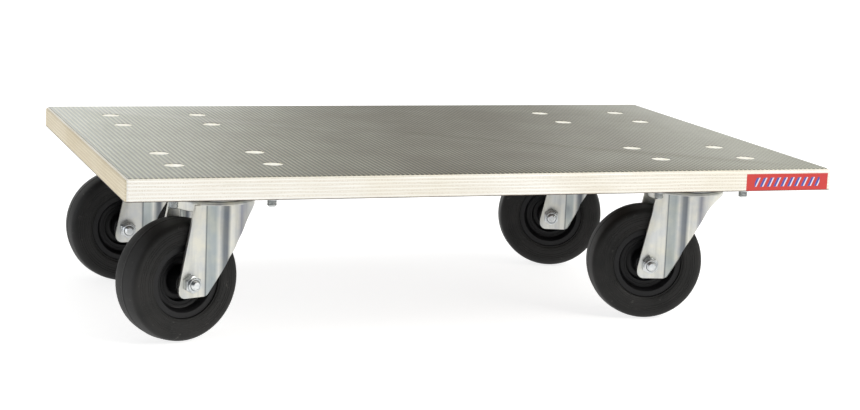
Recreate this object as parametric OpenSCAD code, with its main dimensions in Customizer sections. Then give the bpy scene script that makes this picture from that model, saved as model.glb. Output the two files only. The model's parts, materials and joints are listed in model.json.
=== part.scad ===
// Plywood platform dolly on four swivel castors.
// Millimetres, +Z up. The origin is on the floor, under the middle of the platform.
// +X runs along the platform, and -Y is the side that carries the label.

/* [Platform] */
// Length of the platform, along X
deck_l = 600; // [450:10:900]
// Width of the platform, along Y
deck_w = 400; // [360:10:600]
// Thickness of the platform with both films
deck_t = 18; // [15:0.5:30]
// Radius of the platform's upright corners
deck_corner_r = 3; // [2:0.5:20]
// Radius of the rounding along the platform's top edge
arris_r = 2.6; // [1:0.1:5]
// Thickness of the anti-slip film on top
film_t = 0.6; // [0.3:0.1:1.5]
// Thickness of the smooth film underneath
backing_t = 0.4; // [0.2:0.1:1]

/* [Label] */
// Length of the label on the front edge
label_l = 76; // [30:1:120]
// From the label up to where the edge's rounding starts
label_gap = 0.4; // [0.2:0.1:6]
// Thickness of the label, which lies flush in the edge
label_t = 0.2; // [0.1:0.1:0.5]
// From the label to the rounded upright corner at the platform's right end
label_inset = 0.5; // [0.5:0.5:40]

/* [Castor] */
// Outer diameter of the tyre
wheel_d = 100; // [80:1:125]
// Width of the tyre
tyre_w = 33; // [26:0.5:42]
// From the top of the tyre to the top of the mounting plate
head_room = 27.5; // [26:0.5:40]
// From the swivel axis back to the axle
trail = 34; // [28:0.5:42]
// From the swivel axes to the platform's ends
pivot_inset_x = 90; // [85:1:130]
// From the swivel axes to the platform's sides
pivot_inset_y = 91; // [85:1:120]
// Thickness of the fork's sheet
fork_t = 2.5; // [2:0.1:3]
// Outer radius of the fork's crown
crown_r = 32.5; // [31:0.5:34]

/* [Parked angles] */
// How far the front left castor is turned, seen from above
turn_front_left = 19; // [-180:1:180]
// How far the front right castor is turned
turn_front_right = -11; // [-180:1:180]
// How far the rear left castor is turned
turn_rear_left = 2; // [-180:1:180]
// How far the rear right castor is turned
turn_rear_right = -18; // [-180:1:180]

/* [Mounting plate] */
// Length of the mounting plate, along X
plate_l = 105; // [100:1:120]
// Width of the mounting plate, along Y
plate_w = 85; // [80:1:100]
// Thickness of the mounting plate
plate_t = 3; // [2.5:0.1:4]
// Spacing of the mounting holes along X
hole_dx = 80; // [76:0.5:84]
// Spacing of the mounting holes along Y
hole_dy = 60; // [58:0.5:64]

/* [Fasteners] */
// Diameter of every bolt's thread
bolt_d = 8; // [6:0.5:8]
// Diameter of the flat countersunk heads
head_d = 16.5; // [14:0.5:18]
// Width across flats of the nuts and of the axle bolt's head
nut_af = 13; // [10:0.5:13]
// Height of the self-locking nuts
nut_h = 8; // [6:0.5:8]
// Length of thread past each mounting nut
bolt_tail = 5.5; // [2:0.5:6]
// Length of thread past the axle nut
axle_tail = 2.3; // [1:0.1:4]

/* [Fits] */
// Radial play of bolts in their holes, and of balls and rollers in their tracks
play = 0.05; // [0.03:0.01:0.08]
// Gap between curved faces that must not touch
gap = 0.35; // [0.3:0.05:0.5]
// Sideways play of the wheel's hub in the fork, on each side
hub_play = 0.5; // [0.3:0.1:1]

/* [Hidden] */
$fn = 96;
ball_fn = 32;
nudge = 0.01;
far = 400;

// heights, from the floor
castor_h = wheel_d + head_room;
deck_top = castor_h + deck_t;
board_top = deck_top - film_t;
board_bottom = castor_h + backing_t;
plate_bottom = castor_h - plate_t;
axle_h = wheel_d / 2;

// swivel head: upper and lower ball tracks on either side of the crown
crown_sheet = 3;
crown_top = castor_h - 12;
crown_bottom = crown_top - crown_sheet;
skirt_bottom = crown_top - 9;
upper_ball_d = 7;
upper_ball_n = 20;
upper_track_r = crown_r - 6.5;
upper_ball_z = crown_top + upper_ball_d / 2 - 1.2;
lower_ball_d = 5;
lower_ball_n = 18;
lower_track_r = crown_r / 2;
lower_ball_z = crown_bottom - lower_ball_d / 2 + 0.8;
lower_race_top = lower_ball_z - 1.4;
lower_race_t = 4;
race_in_r = upper_track_r - 4;
race_lip_t = 2;
pin_r = 6;
pin_head_r = 9;
pin_head_t = 3;

// fork: two flat legs that flare out into the round crown
hub_w = tyre_w + 3;
fork_in = hub_w / 2 + hub_play;
fork_out = fork_in + fork_t;
flare_x = -20;
flare_end_x = -9;
flare_inset = 0.15;
leg_front = 10.3;
leg_back = 14.7;
leg_below = 12;
leg_corner_r = 6;
front_lean = 12;
rear_lean = 27;
rear_sweep_r = 30;
rear_lip = 0.5;

// wheel
seat_r = wheel_d * 0.3;
tyre_half = tyre_w / 2;
shoulder_r = 5.5;
tread_crown_r = 70;
tube_r = 6;
roller_d = 2.5;
roller_n = 11;
roller_l = hub_w - 6;
roller_ring_r = tube_r + play + roller_d / 2;
hub_bore_r = roller_ring_r + roller_d / 2 + play;
hub_r = hub_bore_r + 2.4;
rim_half = tyre_half - 2.5;
seat_rib_half = 3;
seat_rib_h = 2;

// fasteners
head_recess = 0.3;
head_rim = 0.6;
neck_l = 4;
axle_head_h = 5.5;
bolt_r = bolt_d / 2;

CASTORS = ["front_left", "front_right", "rear_left", "rear_right"];
SIDE_X = [-1, 1, -1, 1];
SIDE_Y = [-1, -1, 1, 1];
TURN = [turn_front_left, turn_front_right, turn_rear_left, turn_rear_right];
PIECES = ["mounting_plate", "kingpin", "lower_race", "upper_balls", "lower_balls", "fork",
          "axle_bolt", "axle_nut", "axle_tube", "wheel_rim", "tyre", "roller_cage", "rollers"];

// ---- placing ----

// What is bolted to the platform at castor i
module at_plate(i)
    translate([SIDE_X[i] * (deck_l / 2 - pivot_inset_x), SIDE_Y[i] * (deck_w / 2 - pivot_inset_y), 0])
        children();

// What swivels with castor i
module at_fork(i) at_plate(i) rotate([0, 0, TURN[i]]) children();

// What sits on the axle of castor i, drawn along +Z, which becomes the axle towards -Y
module at_axle(i) at_fork(i) translate([-trail, 0, axle_h]) rotate([90, 0, 0]) children();

// The four holes of one mounting plate
module at_holes()
    for (x = [-1, 1], y = [-1, 1])
        translate([x * hole_dx / 2, y * hole_dy / 2, 0]) children();

// ---- shapes used more than once ----

// Upright block on the XY plane, centred, with square corners
module block(l, w, h) translate([-l / 2, -w / 2, 0]) cube([l, w, h]);

// Ring of rectangular section around Z
module ring(r_in, r_out, z_low, z_high)
    translate([0, 0, z_low]) difference() {
        cylinder(r = r_out, h = z_high - z_low);
        translate([0, 0, -1]) cylinder(r = r_in, h = z_high - z_low + 2);
    }

// Half-round track that balls run in
module ball_track(track_r, ball_d, z)
    translate([0, 0, z]) rotate_extrude() translate([track_r, 0]) circle(r = ball_d / 2 + play, $fn = ball_fn);

module ball_row(track_r, ball_d, n, z)
    for (k = [0 : n - 1]) rotate([0, 0, k * 360 / n]) translate([track_r, 0, z])
        sphere(d = ball_d, $fn = ball_fn);

module hex(af, h) cylinder(r = af / 2 / cos(30), h = h, $fn = 6);

// Points of an arc from angle a to angle b
function arc(x, y, r, a, b, steps = 6) =
    [for (k = [0 : steps]) [x + r * cos(a + (b - a) * k / steps), y + r * sin(a + (b - a) * k / steps)]];

// Platform outline seen along one axis, with its two rounded top edges
module edge_profile(width, z_low, z_high)
    polygon(concat([[-width / 2, z_low], [width / 2, z_low]],
                   arc(width / 2 - arris_r, z_high - arris_r, arris_r, 0, 90),
                   arc(-width / 2 + arris_r, z_high - arris_r, arris_r, 90, 180)));

// Upright corners of the platform
module corners(inset, z_low, z_high) {
    l = deck_l - 2 * inset;
    w = deck_w - 2 * inset;
    r = deck_corner_r;
    points = concat(arc(l / 2 - r, w / 2 - r, r, 0, 90), arc(-l / 2 + r, w / 2 - r, r, 90, 180),
                    arc(-l / 2 + r, -w / 2 + r, r, 180, 270), arc(l / 2 - r, -w / 2 + r, r, 270, 360));
    translate([0, 0, z_low]) linear_extrude(z_high - z_low) polygon(points);
}

// ---- platform ----

module deck_board() color("wheat") difference() {
    intersection() {
        corners(0, board_bottom, board_top);
        translate([-deck_l / 2 - 1, 0, 0]) rotate([90, 0, 90]) linear_extrude(deck_l + 2)
            edge_profile(deck_w, board_bottom, board_top);
        translate([0, deck_w / 2 + 1, 0]) rotate([90, 0, 0]) linear_extrude(deck_w + 2)
            edge_profile(deck_l, board_bottom, board_top);
    }
    for (i = [0 : 3]) at_plate(i) at_holes() bolt_room();
    label_block(nudge);
}

// Room for one countersunk bolt with its square neck
module bolt_room() {
    translate([0, 0, castor_h - 1]) cylinder(r = bolt_r + play, h = deck_t + 2);
    translate([0, 0, head_cone_bottom() - neck_l - play])
        block(bolt_d + 2 * play, bolt_d + 2 * play, neck_l + 1);
    translate([0, 0, head_cone_bottom() - 2 * play])
        cylinder(r1 = bolt_r, r2 = head_d / 2 + 2 * play, h = head_d / 2 - bolt_r + 2 * play);
    translate([0, 0, deck_top - head_recess - head_rim])
        cylinder(r = head_d / 2 + 2 * play, h = 2);
}

function head_cone_bottom() = deck_top - head_recess - head_rim - (head_d / 2 - bolt_r);

module antislip_film() color("dimgray") difference() {
    corners(arris_r, board_top, deck_top);
    for (i = [0 : 3]) at_plate(i) at_holes() translate([0, 0, board_top - 1])
        cylinder(r = head_d / 2 + 2 * play, h = film_t + 2);
}

module backing_film() color("saddlebrown") difference() {
    corners(0, castor_h, board_bottom);
    for (i = [0 : 3]) at_plate(i) at_holes() translate([0, 0, castor_h - 1])
        cylinder(r = bolt_r + play, h = backing_t + 2);
}

module label_block(outward)
    translate([deck_l / 2 - deck_corner_r - label_inset - label_l, -deck_w / 2 - outward, board_bottom])
        cube([label_l, label_t + outward, board_top - arris_r - label_gap - board_bottom]);

module edge_label() color("tomato") label_block(0);

// ---- fasteners through the platform ----

module mounting_bolts() color("gainsboro")
    for (i = [0 : 3]) at_plate(i) at_holes() {
        translate([0, 0, deck_top - head_recess - head_rim]) cylinder(r = head_d / 2, h = head_rim);
        translate([0, 0, head_cone_bottom()]) cylinder(r1 = bolt_r, r2 = head_d / 2, h = head_d / 2 - bolt_r);
        translate([0, 0, head_cone_bottom() - neck_l]) block(bolt_d, bolt_d, neck_l);
        translate([0, 0, plate_bottom - nut_h - bolt_tail])
            cylinder(r = bolt_r, h = head_cone_bottom() - plate_bottom + nut_h + bolt_tail);
    }

module mounting_nuts() color("silver")
    for (i = [0 : 3]) at_plate(i) at_holes() translate([0, 0, plate_bottom - nut_h]) locking_nut();

// Hexagon nut with the round collar of a self-locking nut at its low end
module locking_nut() difference() {
    union() {
        translate([0, 0, nut_h * 0.3]) hex(nut_af, nut_h * 0.7);
        cylinder(r = nut_af / 2 - 0.6, h = nut_h * 0.3 + nudge);
    }
    translate([0, 0, -1]) cylinder(r = bolt_r + play, h = nut_h + 2);
}

// ---- what is fixed under the platform ----

// Flat plate with the pressed cup that holds the upper ball track
module mounting_plate() color("lightsteelblue") difference() {
    union() {
        difference() {
            translate([0, 0, plate_bottom]) block(plate_l, plate_w, plate_t);
            for (x = [-1, 1], y = [-1, 1]) scale([x, y, 1])
                translate([plate_l / 2, plate_w / 2, 0]) rotate([0, 0, 45])
                    translate([0, 0, plate_bottom - 1]) block(9, 9, plate_t + 2);
        }
        ring(race_in_r, crown_r, upper_ball_z + 1.8, plate_bottom + nudge);
        ring(crown_r - race_lip_t, crown_r, crown_top + 0.7, plate_bottom);
    }
    ball_track(upper_track_r, upper_ball_d, upper_ball_z);
    translate([0, 0, plate_bottom - 1]) cylinder(r = pin_r + play, h = plate_t + 2);
    translate([0, 0, castor_h - plate_t / 2]) cylinder(r = pin_head_r + play, h = plate_t);
    at_holes() translate([0, 0, plate_bottom - 1]) cylinder(r = bolt_r + gap, h = plate_t + 2);
}

// Riveted pin that holds plate, fork and lower race together
module kingpin() color("lightgray") {
    translate([0, 0, lower_race_top - lower_race_t - pin_head_t]) cylinder(r = pin_head_r, h = pin_head_t);
    translate([0, 0, lower_race_top - lower_race_t - nudge])
        cylinder(r = pin_r, h = castor_h - lower_race_top + lower_race_t - 0.2);
    translate([0, 0, castor_h - plate_t / 2 + play]) cylinder(r = pin_head_r, h = plate_t / 2 - 0.3);
}

module lower_race() color("lightsteelblue") difference() {
    ring(pin_r + play, lower_track_r + 4.5, lower_race_top - lower_race_t, lower_race_top);
    ball_track(lower_track_r, lower_ball_d, lower_ball_z);
}

// ---- what swivels ----

module upper_balls() color("silver") ball_row(upper_track_r, upper_ball_d, upper_ball_n, upper_ball_z);

module lower_balls() color("silver") ball_row(lower_track_r, lower_ball_d, lower_ball_n, lower_ball_z);

// Side view of the legs before their rear edge is cut: X along the castor and Y up
module leg_outline() {
    x_front = -trail - leg_front;
    z_low = axle_h - leg_below;
    z_high = crown_top - 2;
    r = leg_corner_r;
    polygon(concat(
        [[crown_r + 1, z_high], [x_front + (z_high - z_low) * tan(front_lean), z_high],
         [x_front, z_low + leg_below * 0.75]],
        arc(x_front + r, z_low + r, r, 180, 270),
        [[crown_r + 1, z_low]]));
}

// Side view of what is cut away behind the legs: a leaning edge that sweeps out under the crown
module rear_cut() {
    x_back = -trail + leg_back;
    z_low = axle_h - leg_below;
    z_high = crown_bottom - rear_lip;
    corner = leg_corner_r * tan(45 - rear_lean / 2);
    sweep = rear_sweep_r * tan(45 - rear_lean / 2);
    x_meet = x_back + (z_high - z_low) * tan(rear_lean);
    polygon(concat(
        [[x_back - corner, z_low - 1]],
        arc(x_back - corner, z_low + leg_corner_r, leg_corner_r, 270, 360 - rear_lean),
        arc(x_meet + sweep, z_high - rear_sweep_r, rear_sweep_r, 180 - rear_lean, 90),
        [[far, z_high], [far, z_low - 1]]));
}

// Plan of one side's flat leg and of the flare that carries it out to the round crown
module flared_plan() {
    x_front = -trail - leg_front - 1;
    x_end = flare_end_x + 0.5;
    out_end = sqrt(crown_r * crown_r - x_end * x_end) - flare_inset;
    in_end = sqrt((crown_r - fork_t) * (crown_r - fork_t) - x_end * x_end) + flare_inset;
    polygon([[x_front, -fork_in], [x_front, -fork_out], [flare_x, -fork_out], [x_end, -out_end],
             [x_end, -in_end], [flare_x + 1, -fork_in]]);
}

// Plan of one side's round part, which follows the crown
module round_plan()
    intersection() {
        difference() {
            circle(r = crown_r);
            circle(r = crown_r - fork_t);
        }
        translate([flare_end_x, -crown_r - 1]) square([2 * crown_r, crown_r - 4]);
    }

// Prism across the castor from a side view
module from_the_side() translate([0, far / 2, 0]) rotate([90, 0, 0]) linear_extrude(far) children();

module both_sides() {
    children();
    mirror([0, 1, 0]) children();
}

// Fork of pressed sheet: crown with its two ball tracks, skirt and two legs
module fork() color("lightsteelblue") difference() {
    union() {
        intersection() {
            both_sides() {
                linear_extrude(crown_bottom + 0.4) flared_plan();
                linear_extrude(skirt_bottom) round_plan();
            }
            from_the_side() leg_outline();
        }
        rotate_extrude() polygon(concat(
            [[pin_r + gap, crown_bottom], [crown_r - fork_t, crown_bottom], [crown_r - fork_t, skirt_bottom],
             [crown_r, skirt_bottom]],
            arc(crown_r - 2.5, crown_top - 2.5, 2.5, 0, 90, 4),
            [[pin_r + gap, crown_top]]));
    }
    ball_track(upper_track_r, upper_ball_d, upper_ball_z);
    from_the_side() rear_cut();
    ball_track(lower_track_r, lower_ball_d, lower_ball_z);
    translate([-trail, far / 2, axle_h]) rotate([90, 0, 0]) cylinder(r = bolt_r + play, h = far);
}

// ---- axle, drawn along +Z from the far leg to the near one ----

module axle_bolt() color("silver") {
    translate([0, 0, -fork_out - axle_head_h]) hex(nut_af, axle_head_h);
    translate([0, 0, -fork_out - nudge]) cylinder(r = bolt_r, h = 2 * fork_out + nut_h + axle_tail);
}

module axle_nut() color("silver")
    translate([0, 0, fork_out + nut_h]) mirror([0, 0, 1]) locking_nut();

module axle_tube() color("lightgray") ring(bolt_r + play, tube_r, -fork_in, fork_in);

// ---- wheel ----

module rollers() color("gray")
    for (k = [0 : roller_n - 1]) rotate([0, 0, k * 360 / roller_n])
        translate([roller_ring_r, 0, -roller_l / 2]) cylinder(d = roller_d, h = roller_l, $fn = ball_fn);

module roller_cage() color("ivory") difference() {
    ring(tube_r + gap, hub_bore_r - gap, -roller_l / 2 - 2, roller_l / 2 + 2);
    for (k = [0 : roller_n - 1]) rotate([0, 0, k * 360 / roller_n])
        translate([roller_ring_r, 0, -roller_l / 2 - play])
            cylinder(d = roller_d + 4 * play, h = roller_l + 2 * play, $fn = ball_fn);
}

// Half of the rim's section, from the web outwards: [radius, distance from the middle]
function rim_half_section() = [
    [hub_bore_r, hub_w / 2], [hub_r, hub_w / 2], [hub_r + 0.5, 1.5], [hub_r + 6, 1.5], [hub_r + 6, 7],
    [seat_r - 7.5, 7], [seat_r - 5, rim_half], [seat_r, rim_half],
    [seat_r, seat_rib_half], [seat_r + seat_rib_h, seat_rib_half]];

module wheel_rim() color("black") {
    near = rim_half_section();
    last = len(near) - 1;
    rotate_extrude() polygon(concat(near, [for (k = [last : -1 : 0]) [near[k][0], -near[k][1]]]));
}

// Tyre with a tread crowned across its width, which runs smoothly into the shoulders
module tyre() color("#2b2b28") difference() {
    shoulder_z = tyre_half - shoulder_r;
    join = asin(shoulder_z / (tread_crown_r - shoulder_r));
    crown_x = wheel_d / 2 - tread_crown_r;
    shoulder_x = crown_x + (tread_crown_r - shoulder_r) * cos(join);
    rotate_extrude() polygon(concat(
        [[seat_r + play, tyre_half - 2], [seat_r + 1.5, tyre_half - 0.5]],
        [[shoulder_x, tyre_half]],
        arc(shoulder_x, shoulder_z, shoulder_r, 75, join, 5),
        arc(crown_x, 0, tread_crown_r, join, -join, 6),
        arc(shoulder_x, -shoulder_z, shoulder_r, -join, -75, 5),
        [[shoulder_x, -tyre_half]],
        [[seat_r + 1.5, -tyre_half + 0.5], [seat_r + play, -tyre_half + 2]]));
    ring(seat_r - 1, seat_r + seat_rib_h + play, -seat_rib_half - play, seat_rib_half + play);
}

// ---- the nodes ----

deck_board();
antislip_film();
backing_film();
edge_label();
mounting_bolts();
mounting_nuts();
for (i = [0 : 3]) {
    at_plate(i) mounting_plate();
    at_plate(i) kingpin();
    at_plate(i) lower_race();
    at_fork(i) upper_balls();
    at_fork(i) lower_balls();
    at_fork(i) fork();
    at_axle(i) axle_bolt();
    at_axle(i) axle_nut();
    at_axle(i) axle_tube();
    at_axle(i) wheel_rim();
    at_axle(i) tyre();
    at_axle(i) roller_cage();
    at_axle(i) rollers();
}
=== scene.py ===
# %% [markdown]
# # A plywood dolly on four swivel castors
# The real object is a workshop dolly: a film-faced birch plywood board on four
# pressed-steel castors with black rubber wheels. The CAD model fixes every size and
# every joint, and this lesson builds the surfaces that the eye sees around it: the
# rounded plywood edge, the embossed film, the folded zinc-plated sheet of the forks
# and the moulded tyres. Each piece is shaped with bmesh operators, in millimetres,
# and moved to its place in its own mesh, so that every object stays at the origin.

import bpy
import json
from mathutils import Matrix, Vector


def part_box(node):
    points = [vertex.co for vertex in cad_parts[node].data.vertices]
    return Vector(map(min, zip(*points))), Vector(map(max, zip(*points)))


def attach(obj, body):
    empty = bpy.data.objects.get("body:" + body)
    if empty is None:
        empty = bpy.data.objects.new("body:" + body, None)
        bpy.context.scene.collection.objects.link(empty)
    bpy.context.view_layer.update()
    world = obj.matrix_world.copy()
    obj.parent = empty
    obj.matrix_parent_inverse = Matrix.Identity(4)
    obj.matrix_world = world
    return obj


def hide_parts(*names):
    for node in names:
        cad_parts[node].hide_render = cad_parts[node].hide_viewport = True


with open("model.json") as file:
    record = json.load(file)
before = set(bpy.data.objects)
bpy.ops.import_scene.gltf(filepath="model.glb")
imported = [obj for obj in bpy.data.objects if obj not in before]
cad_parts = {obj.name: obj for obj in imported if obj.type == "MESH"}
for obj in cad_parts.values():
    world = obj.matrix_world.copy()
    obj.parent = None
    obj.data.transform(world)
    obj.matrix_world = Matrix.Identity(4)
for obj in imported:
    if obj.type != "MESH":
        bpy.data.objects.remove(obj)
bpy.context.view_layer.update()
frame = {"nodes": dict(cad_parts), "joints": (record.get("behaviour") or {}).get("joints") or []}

# %% Imports and units
import json
import math

import bmesh
import bpy
from mathutils import Matrix, Vector

MM = 0.001
TURN = 2 * math.pi

# %% [markdown]
# ## Camera
# A long portrait lens stands a little under two metres away, off the left end of the
# board, and looks ten degrees down. A long lens keeps the board's far edge almost as
# long as its near one. The camera has no shift and no depth of field, so any other
# view of the scene can reuse it.

# %% Camera
CAMERA_PLACE = Vector((-586.95, -1718.17, 410.91)) * MM
CAMERA_YAW = math.radians(19.229)
CAMERA_TILT = math.radians(10.215)
CAMERA_ROLL = math.radians(2.403)
LENS_MM = 86.61
SENSOR_MM = 36


def camera_turn():
    """Camera axes as matrix columns: right, up and back."""
    level = math.cos(CAMERA_TILT)
    ahead = Vector((math.sin(CAMERA_YAW) * level, math.cos(CAMERA_YAW) * level,
                    -math.sin(CAMERA_TILT)))
    right = Vector((math.cos(CAMERA_YAW), -math.sin(CAMERA_YAW), 0))
    up = right.cross(ahead)
    rolled_right = right * math.cos(CAMERA_ROLL) + up * math.sin(CAMERA_ROLL)
    rolled_up = up * math.cos(CAMERA_ROLL) - right * math.sin(CAMERA_ROLL)
    return Matrix((rolled_right, rolled_up, -ahead)).transposed()


lens = bpy.data.cameras.new("camera")
lens.lens = LENS_MM
lens.sensor_width = SENSOR_MM
lens.clip_start = 0.05
lens.clip_end = 60
camera = bpy.data.objects.new("camera", lens)
camera.matrix_world = Matrix.Translation(CAMERA_PLACE) @ camera_turn().to_4x4()
bpy.context.scene.collection.objects.link(camera)
bpy.context.scene.camera = camera
print("camera at", tuple(round(v, 3) for v in camera.location), "lens", lens.lens, "mm")

# %% [markdown]
# ## Helpers for shape
# Most of the dolly is turned, so one helper spins a section round an axis. Two more
# join pieces and copy them to their places, and the last turns a finished bmesh into
# an object that rides on its body. Normals are recalculated after doubles are merged,
# because a spin can turn a shell inside out.


# %% Spin a section
MERGE_MM = 0.002


def spun(section, steps=96):
    """Closed or pole-to-pole solid of revolution about Z from [radius, height] points in mm."""
    bm = bmesh.new()
    verts = [bm.verts.new((r, 0, z)) for r, z in section]
    loop = list(zip(verts, verts[1:]))
    if section[0][0] > 0 or section[-1][0] > 0:
        loop.append((verts[-1], verts[0]))
    edges = [bm.edges.new(pair) for pair in loop]
    bmesh.ops.spin(bm, geom=verts + edges, cent=(0, 0, 0), axis=(0, 0, 1), dvec=(0, 0, 0),
                   angle=TURN, steps=steps, use_merge=True, use_duplicate=False)
    bmesh.ops.remove_doubles(bm, verts=bm.verts, dist=MERGE_MM)
    bmesh.ops.recalc_face_normals(bm, faces=bm.faces)
    return bm


# %% Join and copy
def joined(*parts):
    """One bmesh that holds all the parts."""
    whole = bmesh.new()
    for part in parts:
        mesh = bpy.data.meshes.new("part")
        part.to_mesh(mesh)
        part.free()
        whole.from_mesh(mesh)
        bpy.data.meshes.remove(mesh)
    return whole


def moved(bm, *matrices):
    """One bmesh with a copy of bm at each matrix."""
    mesh = bpy.data.meshes.new("part")
    bm.to_mesh(mesh)
    bm.free()
    whole = bmesh.new()
    for matrix in matrices:
        before = len(whole.verts)
        whole.from_mesh(mesh)
        whole.verts.ensure_lookup_table()
        bmesh.ops.transform(whole, matrix=matrix, verts=whole.verts[before:])
    bpy.data.meshes.remove(mesh)
    return whole


# %% Finish a piece
SMOOTH_UNDER = math.radians(32)


def finished(bm, name, body, material, replaces, place=None):
    """Object from a bmesh in mm: placed in its mesh, given its finish and put on its body."""
    to_metres = Matrix.Scale(MM, 4) @ (place or Matrix.Identity(4))
    bmesh.ops.transform(bm, matrix=to_metres, verts=bm.verts)
    mesh = bpy.data.meshes.new(name)
    bm.to_mesh(mesh)
    bm.free()
    mesh.materials.append(material)
    mesh.shade_smooth()
    mesh.set_sharp_from_angle(angle=SMOOTH_UNDER)
    piece = bpy.data.objects.new(name, mesh)
    bpy.context.scene.collection.objects.link(piece)
    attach(piece, body)
    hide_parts(*replaces)
    return piece


# %% [markdown]
# ## Helpers for finish
# Every material is a small node tree on Object coordinates, so a pattern's scale is a
# real length: a texture scale of 1 / size in metres gives features of that size.
# Colours are written as the hex values that a paint shop would use and turned to the
# linear values that the shader needs in one place. Drawing the patterns as images
# would fix their resolution and need an unwrapped mesh, which solid noise does not.


# %% Colour, nodes and materials
def linear(hex_code):
    """Linear RGBA from an sRGB hex colour."""
    parts = [int(hex_code[i:i + 2], 16) / 255 for i in (1, 3, 5)]
    return tuple(c / 12.92 if c <= 0.04045 else ((c + 0.055) / 1.055) ** 2.4
                 for c in parts) + (1.0,)


def shown(source):
    """A node's output in use, or the source itself where it isn't a node."""
    if isinstance(source, bpy.types.Node):
        return next(output for output in source.outputs if output.enabled)
    return source


def node(tree, kind, links=None, stops=(), **settings):
    """Adds a node. Settings name its properties or inputs, links feed its inputs from nodes,
    sockets or values, and stops are a colour ramp's positions and hex colours."""
    made = tree.nodes.new(kind)
    for key, value in settings.items():
        if hasattr(made, key):
            setattr(made, key, value)
        else:
            made.inputs[key.replace("_", " ")].default_value = value
    for socket, source in (links or {}).items():
        source = shown(source)
        if isinstance(source, bpy.types.NodeSocket):
            tree.links.new(source, made.inputs[socket])
        else:
            value = linear(source) if isinstance(source, str) else source
            made.inputs[socket].default_value = value
    if stops:
        elements = made.color_ramp.elements
        elements.remove(elements[1])
        elements[0].position, elements[0].color = stops[0][0], linear(stops[0][1])
        for position, colour in stops[1:]:
            elements.new(position).color = linear(colour)
    return made


def material(name, **shader):
    """Material with its Principled shader set: returns it, its tree, shader and Object place."""
    made = bpy.data.materials.new(name)
    made.use_nodes = True
    tree = made.node_tree
    bsdf = tree.nodes["Principled BSDF"]
    for key, value in shader.items():
        bsdf.inputs[key.replace("_", " ")].default_value = value
    return made, tree, bsdf, node(tree, "ShaderNodeTexCoord").outputs["Object"]


def shade(tree, bsdf, **sources):
    """Feeds the shader's inputs, by name, from nodes."""
    for key, source in sources.items():
        tree.links.new(shown(source), bsdf.inputs[key.replace("_", " ")])


def per_metre(size_mm):
    """Texture scale that gives features of this size."""
    return 1000 / size_mm


# %% [markdown]
# ## Finish: birch plywood
# The board's edge is bare birch plywood, sanded and clear sealed: a dozen plies of
# about 1.4 mm, each turned a quarter against the next. On one face every other ply
# shows long grain, fine pale streaks, and the ones between show end grain, which is
# browner and speckled. Round the corner the two swap. So the ply number comes from
# the height, its parity is flipped by the face's direction, and each kind of ply has
# its own noise. The glue lines are thin, grey-brown and broken where sanding has
# smeared them.

# %% Birch plywood
PLY_MM = 1.4


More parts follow.
